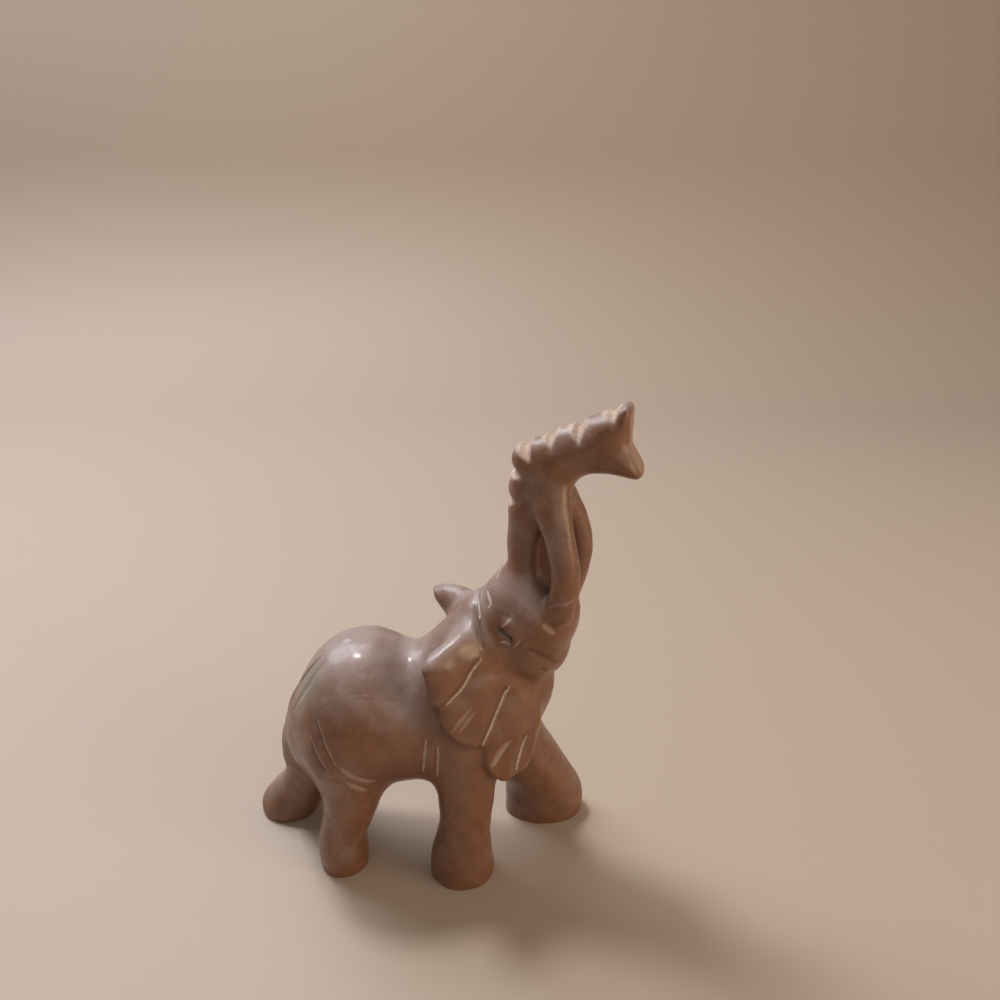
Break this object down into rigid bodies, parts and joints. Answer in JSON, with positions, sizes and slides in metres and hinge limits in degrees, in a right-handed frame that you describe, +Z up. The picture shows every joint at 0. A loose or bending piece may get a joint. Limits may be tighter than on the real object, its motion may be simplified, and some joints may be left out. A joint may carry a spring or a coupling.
{
  "type": "carved soapstone elephant figurine",
  "caption": "Pocket-sized carved stone elephant walking with raised, notched trunk, fan ears and turned head; a shelf ornament or paperweight that stands on its own feet.",
  "frame": {"origin": "on the ground plane of the four soles, below the middle of the figure's length and width", "axes": "+X is the way the elephant's body faces, +Y is the elephant's own left, +Z is up"},
  "size_m": [0.0654, 0.0252, 0.0828],
  "materials": {
    "soapstone": "hand-rubbed and waxed, with pale unpolished cuts"
  },
  "bodies": {
    "root": {"elephant": "soapstone"}
  },
  "joints": []
}
